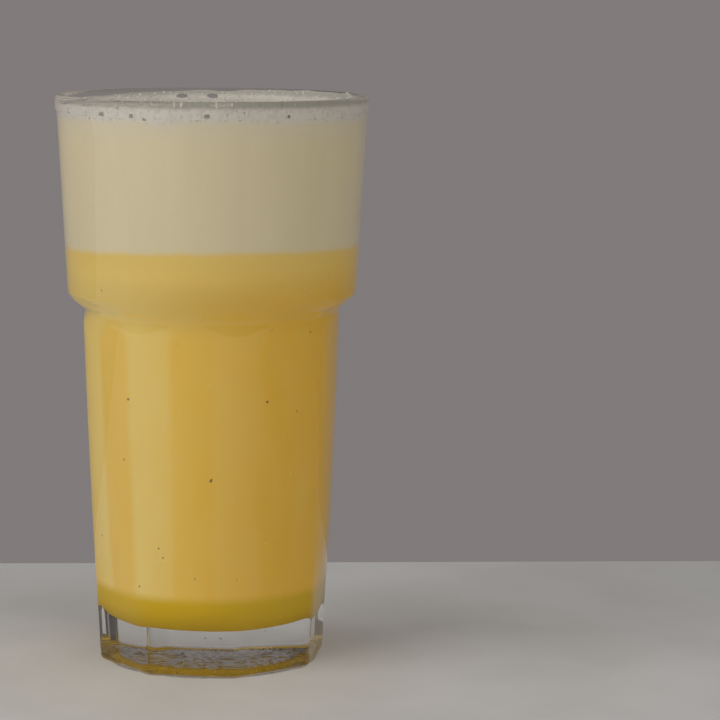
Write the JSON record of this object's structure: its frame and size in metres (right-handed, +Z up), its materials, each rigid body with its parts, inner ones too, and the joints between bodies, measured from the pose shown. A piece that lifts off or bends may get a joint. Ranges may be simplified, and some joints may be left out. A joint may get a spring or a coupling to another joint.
{
  "type": "glass of pineapple juice",
  "caption": "Tall stacking tumbler with a round flared band, flat-panelled body and thick clear base, filled with pineapple juice under creamy foam and white froth.",
  "frame": {"origin": "middle of the underside, on the surface that the glass stands on", "axes": "+Z up the glass, -Y towards the shown front, +X to the shown right"},
  "size_m": [0.085, 0.085, 0.155],
  "materials": {
    "clear_glass": "clear pressed soda-lime glass, fire-polished rim",
    "pineapple_juice": "cloudy golden-yellow juice with fine pulp",
    "cream_foam": "dense pale cream foam of very fine bubbles",
    "white_froth": "wet white froth with open bubbles"
  },
  "bodies": {
    "root": {"glass": "clear_glass", "juice": "pineapple_juice", "foam": "cream_foam", "froth": "white_froth"}
  },
  "joints": []
}
